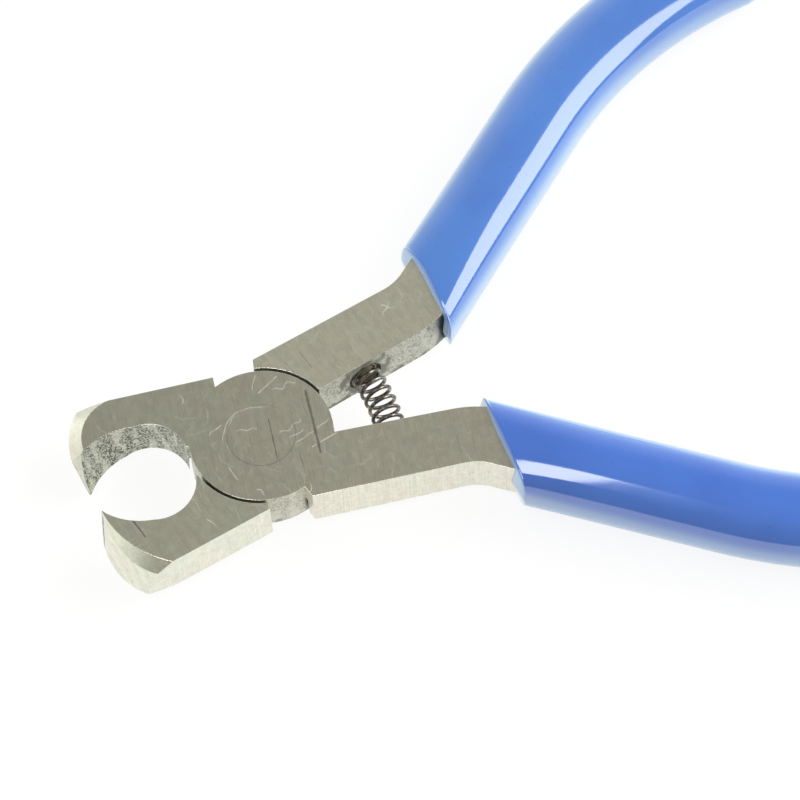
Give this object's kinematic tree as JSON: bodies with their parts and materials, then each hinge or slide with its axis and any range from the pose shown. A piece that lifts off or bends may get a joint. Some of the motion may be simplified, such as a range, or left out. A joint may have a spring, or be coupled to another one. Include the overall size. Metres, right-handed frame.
{
  "type": "end cutting nippers",
  "caption": "Small end cutting nippers with lapped steel jaws on a flush rivet, a coil return spring between the arms and dipped blue grips.",
  "frame": {"origin": "on the pivot's axis, at the rear ground face of the joint", "axes": "+Z along the pivot towards the front face, +X from the pivot to the handles, jaws at -X"},
  "size_m": [0.115, 0.101, 0.01],
  "materials": {
    "steel": "ground",
    "spring_wire": "drawn",
    "grip": "gloss"
  },
  "bodies": {
    "rear": {"rear_half": "steel", "pivot_rivet": "steel", "return_spring": "spring_wire", "rear_grip": "grip"},
    "front": {"front_half": "steel", "front_grip": "grip"}
  },
  "joints": [
    {"name": "pivot", "type": "hinge", "parent": "rear", "child": "front", "pos_m": [0, 0, 0], "axis": [0, 0, 1], "range_deg": [-5, 21], "stiffness_Nm_per_rad": 0.45, "deforming": ["return_spring"]}
  ]
}
